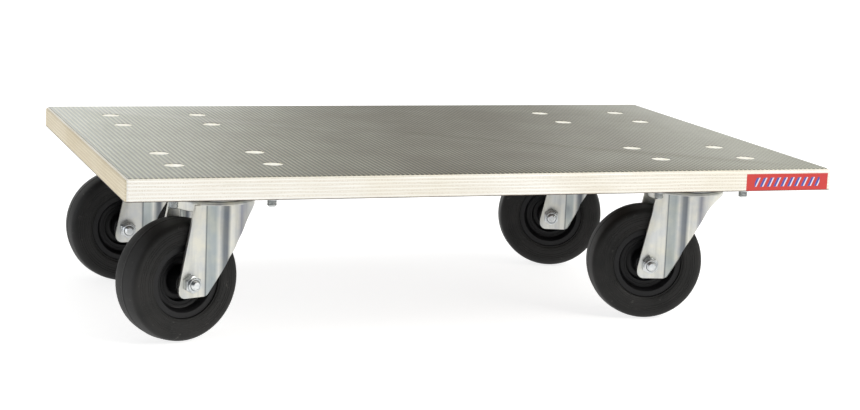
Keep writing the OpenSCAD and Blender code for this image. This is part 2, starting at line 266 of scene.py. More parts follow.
def birch_plywood():
    made, tree, bsdf, place = material("birch plywood, sanded edge", Roughness=0.55, IOR=1.5)
    height = node(tree, "ShaderNodeSeparateXYZ", {"Vector": place}).outputs["Z"]
    waver = node(tree, "ShaderNodeTexNoise", {"Vector": place}, Scale=per_metre(60), Detail=1.0)
    bent = node(tree, "ShaderNodeMath", {0: waver, 1: 0.6 * MM, 2: height},
                operation="MULTIPLY_ADD")
    count = node(tree, "ShaderNodeMath", {0: bent, 1: PLY_MM * MM}, operation="DIVIDE")
    within = node(tree, "ShaderNodeMath", {0: count}, operation="FRACT")
    pair = node(tree, "ShaderNodeMath", {0: count, 1: 2.0}, operation="MODULO")
    odd = node(tree, "ShaderNodeMath", {0: pair, 1: 1.0}, operation="GREATER_THAN")
    normal = node(tree, "ShaderNodeNewGeometry").outputs["Normal"]
    facing = node(tree, "ShaderNodeSeparateXYZ", {"Vector": normal})
    sideways = node(tree, "ShaderNodeMath", {0: facing.outputs["X"]}, operation="ABSOLUTE")
    end_face = node(tree, "ShaderNodeMath", {0: sideways, 1: 0.6}, operation="GREATER_THAN")
    swap = node(tree, "ShaderNodeMath", {0: odd, 1: end_face}, operation="SUBTRACT")
    is_end = node(tree, "ShaderNodeMath", {0: swap}, operation="ABSOLUTE")

    fibres = (per_metre(45), per_metre(45), per_metre(0.7))
    long_place = node(tree, "ShaderNodeMapping", {"Vector": place, "Scale": fibres})
    streaks = node(tree, "ShaderNodeTexNoise", {"Vector": long_place}, Scale=1.0, Detail=4.0)
    long_grain = node(tree, "ShaderNodeValToRGB", {"Fac": streaks},
                      [(0.30, "#E6E1D6"), (0.47, "#F4F2EC"), (0.70, "#F9F8F3")])
    pores = node(tree, "ShaderNodeTexNoise", {"Vector": place}, Scale=per_metre(0.8), Detail=3.0)
    end_grain = node(tree, "ShaderNodeValToRGB", {"Fac": pores},
                     [(0.33, "#D6CEC0"), (0.52, "#EDE9E0"), (0.75, "#F4F1EA")])
    plies = node(tree, "ShaderNodeMix", {"Factor": is_end, "A": long_grain, "B": end_grain},
                 data_type="RGBA")
    glue = node(tree, "ShaderNodeValToRGB", {"Fac": within},
                [(0.0, "#B3A994"), (0.12, "#FFFFFF"), (1.0, "#FFFFFF")])
    smear = node(tree, "ShaderNodeTexNoise", {"Vector": long_place}, Scale=0.6, Detail=2.0)
    seen = node(tree, "ShaderNodeMapRange", {"Value": smear},
                From_Min=0.42, From_Max=0.64, To_Min=0.1, To_Max=1.0)
    glued = node(tree, "ShaderNodeMix", {"Factor": seen, "A": plies, "B": glue},
                 data_type="RGBA", blend_type="MULTIPLY")
    patches = node(tree, "ShaderNodeTexNoise", {"Vector": place}, Scale=per_metre(90), Detail=2.0)
    tone = node(tree, "ShaderNodeValToRGB", {"Fac": patches}, [(0.3, "#F3EFE6"), (0.65, "#FFFFFF")])
    toned = node(tree, "ShaderNodeMix", {"Factor": 1.0, "A": glued, "B": tone},
                 data_type="RGBA", blend_type="MULTIPLY")
    # Painted shade: both end faces, chosen by their normal, are painted a darker tan for the shade
    # that falls on the board's ends.
    end_faces_painted_shade = node(tree, "ShaderNodeMix", {"Factor": end_face, "A": "#FFFFFF", "B": "#EFE5CE"},
                   data_type="RGBA")
    with_painted_end_shade = node(tree, "ShaderNodeMix", {"Factor": 1.0, "A": toned, "B": end_faces_painted_shade},
                data_type="RGBA", blend_type="MULTIPLY")
    relief = node(tree, "ShaderNodeBump", {"Height": pores}, Strength=0.25, Distance=0.1 * MM)
    shade(tree, bsdf, Base_Color=with_painted_end_shade, Normal=relief)
    return made


PLYWOOD = birch_plywood()
print("plywood:", len(PLYWOOD.node_tree.nodes), "nodes, plies of", PLY_MM, "mm")

# %% [markdown]
# ## Finish: anti-slip film
# The top is a dark brown phenolic film that a wire mesh was pressed into while it was
# hot, which leaves ridges in both directions every few millimetres. Seen at a low
# angle the dark film mirrors the room, and the ridges break that mirror into light
# and dark lines. A colour on its own would look like cloth, so the mesh is a bump as
# well, and its colour paints the ridges paler: partly where they have been rubbed and
# partly as painted highlight for the mirrored light. The two ends are painted paler
# than the middle: partly dust, where feet and crates rest less often, and partly
# painted reflection of the bright room. Long faint scuffs run along the board. A wave
# texture's scale is 2 pi / 20 for each ridge in a metre.

# %% Anti-slip film
MESH_PITCH_MM = 4.0
WAVES_PER_SCALE = TURN / 20
CROSS_RIDGES = 0.7
deck_low, deck_high = (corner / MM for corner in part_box("deck_board"))


def antislip_film():
    made, tree, bsdf, place = material("phenolic film, wire-mesh pressed", Roughness=0.38, IOR=1.55)
    ridges = [node(tree, "ShaderNodeTexWave", {"Vector": place},
                   Scale=WAVES_PER_SCALE * per_metre(MESH_PITCH_MM), Distortion=0.5, Detail=1.0,
                   Detail_Scale=0.2, bands_direction=direction).outputs["Fac"]
              for direction in "XY"]
    height = node(tree, "ShaderNodeMath", {0: ridges[1], 1: CROSS_RIDGES, 2: ridges[0]},
                  operation="MULTIPLY_ADD")
    level = node(tree, "ShaderNodeMath", {0: height, 1: 1 + CROSS_RIDGES}, operation="DIVIDE")
    grain = node(tree, "ShaderNodeTexNoise", {"Vector": place}, Scale=per_metre(1.6), Detail=3.0)
    # Partly painted highlight: the pale stops on the ridges stand partly for rubbing and partly for
    # the mirrored light along the ridges.
    mesh = node(tree, "ShaderNodeValToRGB", {"Fac": level},
                [(0.25, "#1B180D"), (0.55, "#47432F"), (0.9, "#A9A68F")])
    clouds = node(tree, "ShaderNodeTexNoise", {"Vector": place},
                  Scale=per_metre(70), Detail=5.0, Roughness=0.65)
    worn = node(tree, "ShaderNodeValToRGB", {"Fac": clouds}, [(0.36, "#CFC6AF"), (0.64, "#FFFFFF")])
    film = node(tree, "ShaderNodeMix", {"Factor": 0.9, "A": mesh, "B": worn},
                data_type="RGBA", blend_type="MULTIPLY")

    along = node(tree, "ShaderNodeSeparateXYZ", {"Vector": place})
    slanted = node(tree, "ShaderNodeMath", {0: along.outputs["Y"], 1: -0.25, 2: along.outputs["X"]},
                   operation="MULTIPLY_ADD")
    run = node(tree, "ShaderNodeMapRange", {"Value": slanted},
               From_Min=deck_low.x * MM, From_Max=deck_high.x * MM)
    # Painted reflection and dust: the pale ends and dark middle stand partly for dust and partly
    # for the bright room that the film mirrors at its ends.
    dust_and_painted_reflection = node(tree, "ShaderNodeValToRGB", {"Fac": run},
                [(0.0, "#D8DED4"), (0.24, "#7E8276"), (0.46, "#0F0E08"), (0.62, "#0F0E08"),
                 (0.8, "#5E6156"), (1.0, "#B5B9AE")])
    dust_and_reflection_added = node(tree, "ShaderNodeMix", {"Factor": 0.35, "A": film, "B": dust_and_painted_reflection},
                  data_type="RGBA", blend_type="ADD")
    drag = node(tree, "ShaderNodeMapping",
                {"Vector": place, "Scale": (per_metre(60), per_metre(5), 1.0),
                 "Rotation": (0, 0, 0.1)})
    scuffs = node(tree, "ShaderNodeTexNoise", {"Vector": drag},
                  Scale=1.0, Detail=6.0, Roughness=0.7)
    scuffed = node(tree, "ShaderNodeMapRange", {"Value": scuffs},
                   From_Min=0.64, From_Max=0.80, To_Max=0.35)
    marked = node(tree, "ShaderNodeMix", {"Factor": scuffed, "A": dust_and_reflection_added, "B": "#D8D6CC"},
                  data_type="RGBA")
    pressed = node(tree, "ShaderNodeBump", {"Height": height}, Strength=1.0, Distance=0.5 * MM)
    rough = node(tree, "ShaderNodeBump", {"Height": grain, "Normal": pressed},
                 Strength=0.25, Distance=0.15 * MM)
    shade(tree, bsdf, Base_Color=marked, Normal=rough)
    return made


FILM = antislip_film()
print("film:", len(FILM.node_tree.nodes), "nodes, ridges every", MESH_PITCH_MM, "mm")

# %% [markdown]
# ## Finish: zinc plating
# Forks and plates are deep-drawn steel sheet with blue-passivated zinc. Zinc is a
# metal mirror with a soft blur, faintly blue, with upright draw marks from the press
# and cloudy patches where the bath left it thicker. Base colour and roughness both
# wander with those patches. The bolt heads in the film are the exception: feet have
# rubbed them and white zinc oxide has dulled them, so above the wood they are nearly
# matt cream, while the threads below stay bright. The forks also carry painted bands
# that follow their folds: painted shade in the crease and along the die's draw lines,
# and painted reflection of the bright room between them. They stand in for the light
# and dark that the folds mirror. They are read from an attribute that holds each
# point's distance along the sheet from the first fold. On pieces without it, the value
# is 0 and no band shows.


# %% Zinc-plated sheet and fasteners
DRAW = "drawn_length"
DRAW_START = 50.0
DRAW_SPAN = 128.0
# Painted light along the folds: the grey stops paint shade in the crease and along the draw lines,
# and the white stops paint the lit room mirrored between them.
FOLD_PAINTED_LIGHT = [(-1.1, "#FFFFFF"), (0.0, "#8B9097"), (1.0, "#DCE2E5"), (7.5, "#D3DBDF"),
              (10.5, "#FFFFFF"), (14.5, "#A2A7AF"), (17.5, "#8D929C"), (20.5, "#FFFFFF"),
              (26.5, "#F0F0F2"), (30.0, "#AEAFBD"), (34.0, "#E4E4E9"), (44.0, "#FFFFFF")]


def zinc(name, light, dark, blur, patch_mm, streaks=0.0, oxide_above=None):
    made, tree, bsdf, place = material(name, Metallic=1.0)
    patches = node(tree, "ShaderNodeTexNoise", {"Vector": place},
                   Scale=per_metre(patch_mm), Detail=4.0, Roughness=0.6)
    drawn = node(tree, "ShaderNodeMapping",
                 {"Vector": place, "Scale": (per_metre(7), per_metre(7), per_metre(70))})
    marks = node(tree, "ShaderNodeTexNoise", {"Vector": drawn},
                 Scale=1.0, Detail=3.0, Roughness=0.6)
    tone = node(tree, "ShaderNodeValToRGB", {"Fac": patches}, [(0.35, dark), (0.65, light)])
    streak = node(tree, "ShaderNodeValToRGB", {"Fac": marks},
                  [(0.36, "#A3A9B4"), (0.54, "#FFFFFF")])
    colour = node(tree, "ShaderNodeMix", {"Factor": streaks, "A": tone, "B": streak},
                  data_type="RGBA", blend_type="MULTIPLY")
    drawn_length = node(tree, "ShaderNodeAttribute", attribute_name=DRAW)
    across = node(tree, "ShaderNodeMath", {0: drawn_length.outputs["Fac"], 1: DRAW_SPAN},
                  operation="DIVIDE")
    # The painted shade and reflection bands, placed by distance along the sheet.
    fold_light_stops = [((DRAW_START + length) / DRAW_SPAN, painted_tone) for length, painted_tone in FOLD_PAINTED_LIGHT]
    bands = node(tree, "ShaderNodeValToRGB", {"Fac": across}, [(0.0, "#FFFFFF")] + fold_light_stops)
    colour = node(tree, "ShaderNodeMix", {"Factor": 1.0, "A": colour, "B": bands},
                  data_type="RGBA", blend_type="MULTIPLY")
    rough = node(tree, "ShaderNodeMapRange", {"Value": patches},
                 To_Min=blur * 0.75, To_Max=blur * 1.3)
    relief = node(tree, "ShaderNodeBump", {"Height": marks},
                  Strength=0.25 * streaks + 0.05, Distance=0.3 * MM)
    if oxide_above is not None:
        height = node(tree, "ShaderNodeSeparateXYZ", {"Vector": place}).outputs["Z"]
        oxide = node(tree, "ShaderNodeMath", {0: height, 1: oxide_above * MM},
                     operation="GREATER_THAN")
        chalk = node(tree, "ShaderNodeValToRGB", {"Fac": patches},
                     [(0.38, "#E4DFCF"), (0.60, "#F8F6EF")])
        colour = node(tree, "ShaderNodeMix", {"Factor": oxide, "A": colour, "B": chalk},
                      data_type="RGBA")
        rough = node(tree, "ShaderNodeMix", {"Factor": oxide, "A": rough, "B": 0.6},
                     data_type="FLOAT")
        metal = node(tree, "ShaderNodeMapRange", {"Value": oxide}, To_Min=1.0, To_Max=0.0)
        shade(tree, bsdf, Metallic=metal)
    shade(tree, bsdf, Base_Color=colour, Roughness=rough, Normal=relief)
    return made


WOOD_COVER = 4
ZINC_SHEET = zinc("steel sheet, blue-passivated zinc", "#DFDDD2", "#CBCDCC", 0.42, 14, streaks=0.25)
ZINC_FASTENER = zinc("steel, bright zinc", "#E2E4E4", "#C6CACC", 0.34, 5)
BOLT_ZINC = zinc("steel, zinc with worn and oxidised heads", "#DCDEDD", "#B9BDBE", 0.3, 5,
                 oxide_above=deck_low.z + WOOD_COVER)
BEARING_STEEL = zinc("ground bearing steel", "#D9DADC", "#C4C6C9", 0.15, 8)
print("zinc bands cover", FOLD_PAINTED_LIGHT[-1][0] - FOLD_PAINTED_LIGHT[0][0], "mm of sheet round the first fold")

# %% [markdown]
# ## Finish: rubber and plastics
# The tyre is solid black rubber, dull, with a faint bloom that dust and age leave on
# it and a few pale scuffs. The rim is moulded polypropylene, a shade blacker. The
# roller cage is uncoloured nylon. All are dielectrics with a fine moulded grain, so
# one recipe makes them, and only the rubber asks it for scuffs. A real mould's grain
# is about a tenth of a millimetre, too fine to show from here, so it is drawn about
# ten times as coarse.


# %% Rubber and plastics
def moulded(name, light, dark, blur, patch_mm, grain_mm, grain_depth=0.08, scuffs=0.0, shine=0.5):
    made, tree, bsdf, place = material(name, Roughness=blur, IOR=1.5, Specular_IOR_Level=shine)
    patches = node(tree, "ShaderNodeTexNoise", {"Vector": place},
                   Scale=per_metre(patch_mm), Detail=5.0)
    colour = node(tree, "ShaderNodeValToRGB", {"Fac": patches}, [(0.35, dark), (0.68, light)])
    if scuffs:
        rubs = node(tree, "ShaderNodeTexNoise", {"Vector": place},
                    Scale=per_metre(7), Detail=6.0, Roughness=0.75)
        where = node(tree, "ShaderNodeMapRange", {"Value": rubs},
                     From_Min=0.63, From_Max=0.78, To_Max=scuffs)
        colour = node(tree, "ShaderNodeMix", {"Factor": where, "A": colour, "B": "#8D8B86"},
                      data_type="RGBA")
    grain = node(tree, "ShaderNodeTexNoise", {"Vector": place},
                 Scale=per_metre(grain_mm), Detail=3.0)
    relief = node(tree, "ShaderNodeBump", {"Height": grain},
                  Strength=0.5, Distance=grain_depth * MM)
    shade(tree, bsdf, Base_Color=colour, Normal=relief)
    return made


RUBBER = moulded("solid rubber, black", "#222120", "#161615", 0.58, 22, 1.5, scuffs=0.45, shine=0.3)
RIM_PLASTIC = moulded("polypropylene, black", "#101012", "#09090B", 0.5, 15, 0.9, 0.04, shine=0.35)
CAGE_PLASTIC = moulded("nylon, natural", "#E2DCC8", "#D2CBB4", 0.45, 10, 0.8, 0.03)
BACKING_FILM = moulded("phenolic film, smooth brown", "#4A3324", "#38261B", 0.35, 40, 1.0, 0.03)
print("moulded finishes:", [m.name for m in (RUBBER, RIM_PLASTIC, CAGE_PLASTIC, BACKING_FILM)])

# %% [markdown]
# ## Finish: label
# The label is printed vinyl: red, with a row of slanting bars in blue and pale violet
# along its middle. The bars are only an ornament and say nothing. They are stripes of
# a sheared coordinate, cut to a band with two comparisons.

# %% Printed label
label_low, label_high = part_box("edge_label")
LABEL_MIDDLE = (label_low + label_high) / 2
LABEL_SIZE = label_high - label_low
LABEL_RED = "#C4352F"
BAR_PITCH_MM = 6.4
BAR_SLANT = 0.45
BAND_HALF = {"X": 0.40 * LABEL_SIZE.x, "Z": 0.27 * LABEL_SIZE.z}


def printed_label():
    made, tree, bsdf, place = material("vinyl, printed red", Roughness=0.35, IOR=1.5)
    centred = node(tree, "ShaderNodeMapping", {"Vector": place, "Location": -LABEL_MIDDLE})
    parts = node(tree, "ShaderNodeSeparateXYZ", {"Vector": centred})
    slant = node(tree, "ShaderNodeMath",
                 {0: parts.outputs["Z"], 1: -BAR_SLANT, 2: parts.outputs["X"]},
                 operation="MULTIPLY_ADD")
    bar = node(tree, "ShaderNodeMath", {0: slant, 1: BAR_PITCH_MM * MM}, operation="DIVIDE")
    phase = node(tree, "ShaderNodeMath", {0: bar}, operation="FRACT")
    bars = node(tree, "ShaderNodeValToRGB", {"Fac": phase},
                [(0.0, LABEL_RED), (0.28, "#3D4FA3"), (0.60, "#DCD3E0"), (0.80, LABEL_RED)])
    bars.color_ramp.interpolation = "CONSTANT"
    limits = []
    for axis, half in BAND_HALF.items():
        away = node(tree, "ShaderNodeMath", {0: parts.outputs[axis]}, operation="ABSOLUTE")
        limits.append(node(tree, "ShaderNodeMath", {0: away, 1: half}, operation="LESS_THAN"))
    band = node(tree, "ShaderNodeMath", {0: limits[0], 1: limits[1]}, operation="MULTIPLY")
    printed = node(tree, "ShaderNodeMix", {"Factor": band, "A": LABEL_RED, "B": bars},
                   data_type="RGBA")
    shade(tree, bsdf, Base_Color=printed)
    return made


LABEL = printed_label()
print("label", [round(v / MM, 1) for v in LABEL_SIZE], "mm, bars every", BAR_PITCH_MM, "mm")

# %% [markdown]
# ## Where the castors are
# Each castor is the same set of pieces at its own place and parked angle. The CAD
# joints say both: the swivel joint's point is the kingpin, and the roll joint's axis
# is the axle's direction. A castor's pieces are modelled with the kingpin on Z, the
# axle behind it towards -X and its nut towards -Y, and one matrix carries them over.

# %% Castor places
CASTORS = ["front_left", "front_right", "rear_left", "rear_right"]
JOINTS = {j["name"]: j for j in frame["joints"]}


def castor_place(castor):
    """Matrix in mm from a castor's own frame to the dolly's."""
    pivot = Vector(JOINTS[castor + "_swivel"]["pos_m"]) / MM
    axis = Vector(JOINTS[castor + "_roll"]["axis"])
    turn = math.atan2(axis.x, -axis.y)
    return Matrix.Translation((pivot.x, pivot.y, 0)) @ Matrix.Rotation(turn, 4, "Z")


PLACES = {castor: castor_place(castor) for castor in CASTORS}
roll_point = Vector(JOINTS["front_left_roll"]["pos_m"]) / MM
AXLE = PLACES["front_left"].inverted() @ roll_point
print("axle in the castor's frame, mm:", tuple(round(v, 2) for v in AXLE))

# %% Heights and sizes read from the CAD boxes, in mm
film_low, film_high = (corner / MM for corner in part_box("antislip_film"))
nut_low, nut_high = (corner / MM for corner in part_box("mounting_nuts"))
bolt_low, bolt_high = (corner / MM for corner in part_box("mounting_bolts"))
FORK_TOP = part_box("front_left_fork")[1].z / MM
WHEEL_R = AXLE.z
print("board", tuple(round(v, 1) for v in deck_high - deck_low), "wheel radius", round(WHEEL_R, 1))

# %% [markdown]
# ## Board
# The board starts as a cube that is scaled to the CAD box. Three bevels shape it: on
# the four upright edges, round the top edge, where the sanded rounding leaves a pale
# band beside the film, and a fine one below. The bolt holes and the shallow bed of
# the label are cut with a Boolean, because a drilled hole is exactly what a Boolean
# makes, and its sharp rim is the real one.

# %% Rounded slab
CORNER_R = 3.0
ARRIS_R = deck_high.x - film_high.x
LOWER_ARRIS_R = 0.4
SAME_LEVEL = 1e-4


def slab(low, high, corner_r, top_r, bottom_r, segments=6):
    """Upright-cornered slab between two corners in mm, with rounded top and bottom edges."""
    bm = bmesh.new()
    bmesh.ops.create_cube(bm, size=1)
    size = high - low
    to_box = Matrix.Translation((low + high) / 2) @ Matrix.Diagonal((*size, 1))
    bmesh.ops.transform(bm, matrix=to_box, verts=bm.verts)
    upright = [e for e in bm.edges if abs(e.verts[0].co.z - e.verts[1].co.z) > size.z / 2]
    bmesh.ops.bevel(bm, geom=upright, offset=corner_r, offset_type="OFFSET", segments=8,
                    profile=0.5, affect="EDGES", material=-1)
    for level, radius in ((high.z, top_r), (low.z, bottom_r)):
        if radius:
            rim = [e for e in bm.edges if all(abs(v.co.z - level) < SAME_LEVEL for v in e.verts)]
            bmesh.ops.bevel(bm, geom=rim, offset=radius, offset_type="OFFSET", segments=segments,
                            profile=0.5, affect="EDGES", material=-1)
    return bm


# %% Bolt places
HOLE_STEP = Vector((40, 30, 0))
PIVOTS = [Vector(JOINTS[c + "_swivel"]["pos_m"]) / MM for c in CASTORS]
BOLTS = [Matrix.Translation((p.x + sx * HOLE_STEP.x, p.y + sy * HOLE_STEP.y, 0))
         for p in PIVOTS for sx in (-1, 1) for sy in (-1, 1)]
print(len(BOLTS), "bolts")


# %% Cut with a Boolean
def cut(bm, cutter):
    """bm less cutter, both bmeshes, by an exact Boolean."""
    pair = []
    for name, part in (("kept", bm), ("cutter", cutter)):
        mesh = bpy.data.meshes.new(name)
        part.to_mesh(mesh)
        part.free()
        pair.append(bpy.data.objects.new(name, mesh))
        bpy.context.scene.collection.objects.link(pair[-1])
    kept, tool = pair
    modifier = kept.modifiers.new("cut", "BOOLEAN")
    modifier.operation = "DIFFERENCE"
    modifier.solver = "EXACT"
    modifier.object = tool
    evaluated = kept.evaluated_get(bpy.context.evaluated_depsgraph_get())
    result = bmesh.new()
    result.from_mesh(evaluated.to_mesh())
    evaluated.to_mesh_clear()
    for spare in pair:
        mesh = spare.data
        bpy.data.objects.remove(spare)
        bpy.data.meshes.remove(mesh)
    return result


# %% The board itself
HEAD_R = 8.25
HEAD_TOP = bolt_high.z
HEAD_RIM = 0.6
SHANK_R = 4.0
CONE_BOTTOM = HEAD_TOP - HEAD_RIM - (HEAD_R - SHANK_R)
PLAY = 0.1
HOLE_STEPS = 48
BED_CORNER_R = 0.01

hole_bottom, hole_top = deck_low.z - 2, deck_high.z + 2
hole = spun([(0, hole_bottom), (SHANK_R + PLAY, hole_bottom), (SHANK_R + PLAY, CONE_BOTTOM - PLAY),
             (HEAD_R + PLAY, HEAD_TOP - HEAD_RIM - PLAY), (HEAD_R + PLAY, hole_top), (0, hole_top)],
            steps=HOLE_STEPS)
label_bed = slab(label_low / MM - Vector((0, 1, 0)), label_high / MM, BED_CORNER_R, 0, 0)
board = slab(deck_low, deck_high, CORNER_R, ARRIS_R, LOWER_ARRIS_R)
board = cut(board, joined(moved(hole, *BOLTS), label_bed))
board_piece = finished(board, "platform_board", "platform", PLYWOOD,
                       ["deck_board"])
print("board", len(board_piece.data.polygons), "faces")

# %% [markdown]
# ## Anti-slip film
# The film is its own thin slab on the board, cut by the same bolt holes. Its edge is
# broken by a hair so that it catches a line of light where the rounding starts.

# %% The film itself
FILM_CORNER_R = 1.2
FILM_EDGE_R = 0.25

film = slab(film_low, film_high, FILM_CORNER_R, FILM_EDGE_R, 0, segments=2)
hole_bottom, hole_top = film_low.z - 1, film_high.z + 1
film_hole = spun([(0, hole_bottom), (HEAD_R + PLAY, hole_bottom), (HEAD_R + PLAY, hole_top),
                  (0, hole_top)], steps=HOLE_STEPS)
film = cut(film, moved(film_hole, *BOLTS))
film_piece = finished(film, "platform_antislip_film", "platform", FILM,
                      ["antislip_film"])
print("film", len(film_piece.data.polygons), "faces")

# %% [markdown]
# ## Bolts and nuts
# A flat countersunk bolt is a turned part, so its section is spun: a face with faint
# rings from the lathe, a cone and a thread. Its square neck is inside the wood and is
# left out. The thread is a stack of V-shaped rings at the real pitch instead of a
# helix, because only a few turns show. Nuts start as a many-sided cylinder whose
# points are drawn in to a hexagon, so that the chamfer cuts each corner in the true
# curved arc.


# %% Turned sections
THREAD_PITCH = 1.25
THREAD_DEPTH = 0.65
THREAD_START = 0.7
FACE_RINGS = (2.2, 4.4, 6.6)
RING_DEPTH = 0.06


def thread(bottom, top):
    """Section points of a thread from bottom to top, with a chamfered start."""
    root = SHANK_R - THREAD_DEPTH
    z = bottom + THREAD_START
    points = [(SHANK_R - 2 * THREAD_DEPTH, bottom), (root, z)]
    while z + THREAD_PITCH < top:
        points += [(SHANK_R, z + THREAD_PITCH * 0.45), (SHANK_R, z + THREAD_PITCH * 0.55),
                   (root, z + THREAD_PITCH)]
        z += THREAD_PITCH
    return points


def countersunk_bolt():
    """Bolt on Z with its flat head in the film, as a bmesh."""
    face = [(0, HEAD_TOP)]
    for r in FACE_RINGS:
        face += [(r - 0.25, HEAD_TOP), (r, HEAD_TOP - RING_DEPTH), (r + 0.25, HEAD_TOP)]
    rim = [(HEAD_R - 0.35, HEAD_TOP), (HEAD_R - 0.1, HEAD_TOP - 0.1), (HEAD_R, HEAD_TOP - 0.35),
           (HEAD_R, HEAD_TOP - HEAD_RIM), (SHANK_R, CONE_BOTTOM)]
    turns = thread(bolt_low.z, nut_high.z)
    shank = [(0, bolt_low.z)] + turns + [(SHANK_R, nut_high.z)]
    return spun(shank + rim[::-1] + face[::-1], steps=40)


NUT_FLATS = 13.0
NUT_H = nut_high.z - nut_low.z
CHAMFER = math.tan(math.radians(30))
CHAMFER_START = 0.2
HEX_SIDES = 72


def hex_radius(angle):
    """Distance from the middle to the hexagon's side in this direction."""
    return NUT_FLATS / 2 / math.cos((angle + math.pi / 6) % (math.pi / 3) - math.pi / 6)


def hexagon(low, high, top_chamfer=True, hole_r=0.0):
    """Hexagonal nut or head on Z with curved chamfers, as a bmesh."""
    corner = NUT_FLATS / 2 / math.cos(math.pi / 6)
    rise = (corner - NUT_FLATS / 2 + CHAMFER_START) * CHAMFER
    levels = [low, low + rise / 2, low + rise]
    levels += [high - rise, high - rise / 2, high] if top_chamfer else [high]
    bm = spun([(hole_r, low)] + [(corner, z) for z in levels] + [(hole_r, high)], steps=HEX_SIDES)
    for v in bm.verts:
        reach = math.hypot(v.co.x, v.co.y)
        if reach < hole_r + 0.01:
            continue
        allowed = hex_radius(math.atan2(v.co.y, v.co.x))
        for depth in [v.co.z - low] + [high - v.co.z] * top_chamfer:
            cone_r = NUT_FLATS / 2 - CHAMFER_START + max(depth, 0) / CHAMFER
            allowed = min(allowed, cone_r)
        v.co.x *= allowed / reach
        v.co.y *= allowed / reach
    return bm


def locking_nut(low, high):
    """Self-locking nut: hexagon above, round collar below with the nylon ring's lip."""
    collar_top = low + (high - low) * 0.3
    inside, lip_r = SHANK_R + 0.1, NUT_FLATS / 2 - 0.6
    collar = spun([(inside, collar_top + 0.3), (inside, low + 0.5), (SHANK_R + 0.7, low),
                   (lip_r - 0.7, low), (lip_r, low + 0.7), (lip_r, collar_top + 0.3)], steps=48)
    return joined(hexagon(collar_top, high, hole_r=SHANK_R), collar)


# %% Bolts and nuts through the platform
bolts = moved(countersunk_bolt(), *BOLTS)
bolts_piece = finished(bolts, "platform_bolts", "platform", BOLT_ZINC,
                       ["mounting_bolts"])
nuts = moved(locking_nut(nut_low.z, nut_high.z), *BOLTS)
nuts_piece = finished(nuts, "platform_nuts", "platform", ZINC_FASTENER,
                      ["mounting_nuts"])
print("bolts", len(bolts_piece.data.polygons), "faces, nuts", len(nuts_piece.data.polygons))

# %% [markdown]
# ## Fork
# The fork is one piece of 2.5 mm sheet, deep drawn: a round crown with a skirt, and
# two flat legs that flare out to meet it. It could be carved from a block, but then
# the sheet's even thickness and soft bends are lost. Instead each side is laid out
# as a flat blank, with the distance across the bends as one coordinate. The blank's
# lower corners are rounded with a vertex bevel, cuts across it every millimetre let
# it bend, and it is folded to the plan curve: flat, flare, round. Two shallow flutes
# beside the flare are where the sheet had length to spare in the die. Solidify makes
# the sheet and a fine bevel breaks the sheared edges. The crown is a spun section, and
# the skirt between the legs is the same spin over part of a turn.

# %% Fork sizes
SHEET = 2.5
CROWN_R = 32.5
CROWN_TOP = FORK_TOP
CROWN_THICK = 3.0
CROWN_EDGE_R = 2.5
KINGPIN_R = 7
SKIRT_BOTTOM = CROWN_TOP - 9
SKIRT_BEVEL = 0.4
LEG_OUT = 21.0
FLARE_X = -20.0
ROUND_X = -9.0
REAR_LEAN = math.radians(27)
SWEEP_R = 30.0
SWEEP_TOUCH_Z = 95.6
LEG_FRONT_X = AXLE.x - 10.3
LEG_BACK_X = AXLE.x + 14.7
LEG_BOTTOM = AXLE.z - 12
LEG_TOP = CROWN_TOP - CROWN_THICK
LEAN_START = LEG_BOTTOM + 9
FRONT_LEAN = 0.215
FRONT_CORNER, BACK_CORNER = 6.0, 2.3
LEG_BEVEL = 0.35
SKIRT_OVERLAP = 0.5
BEND = 1.4
FLUTE_FADE = 8
CROWN_STEPS = 192

ROUND_Y = math.sqrt(CROWN_R ** 2 - ROUND_X ** 2)
FLARE_LENGTH = math.hypot(ROUND_X - FLARE_X, ROUND_Y - LEG_OUT)
ROUND_ANGLE = math.atan2(ROUND_Y, ROUND_X)
BLANK_END = FLARE_LENGTH + CROWN_R * ROUND_ANGLE
print("each side's blank is", round(BLANK_END + FLARE_X - LEG_FRONT_X, 1), "mm across the folds")


# %% Between the flat blank and the folded plan
def along(x):
    """Length along the folded plan, from the first bend, where the plan has this x."""
    if x < FLARE_X:
        return x - FLARE_X
    if x < ROUND_X:
        return FLARE_LENGTH * (x - FLARE_X) / (ROUND_X - FLARE_X)
    return FLARE_LENGTH + CROWN_R * (ROUND_ANGLE - math.acos(min(x / CROWN_R, 1)))


def folded(length):
    """Point of the plan, with sharp bends, at this length from the first bend."""
    if length < 0:
        return Vector((FLARE_X + length, LEG_OUT))
    if length < FLARE_LENGTH:
        return Vector((FLARE_X, LEG_OUT)).lerp(Vector((ROUND_X, ROUND_Y)), length / FLARE_LENGTH)
    angle = ROUND_ANGLE - (length - FLARE_LENGTH) / CROWN_R
    return Vector((math.cos(angle), math.sin(angle))) * CROWN_R


def bent(length, steps=8):
    """The same with each bend spread over a few millimetres, as a press makes it."""
    if length > FLARE_LENGTH + BEND:
        return folded(length)
    near = [folded(length + BEND * (2 * k / steps - 1)) for k in range(steps + 1)]
    return sum(near, Vector((0, 0))) / len(near)


# %% Draw marks
FLUTES = ((4.5, 0.9, 2.2), (12.5, 0.55, 2.6))


def flute_depth(length):
    """Depth, inward, of the shallow upright flutes that deep drawing leaves beside the flare."""
    past_flare = length - FLARE_LENGTH
    return sum(depth * math.exp(-((past_flare - middle) / width) ** 2)
               for middle, depth, width in FLUTES)


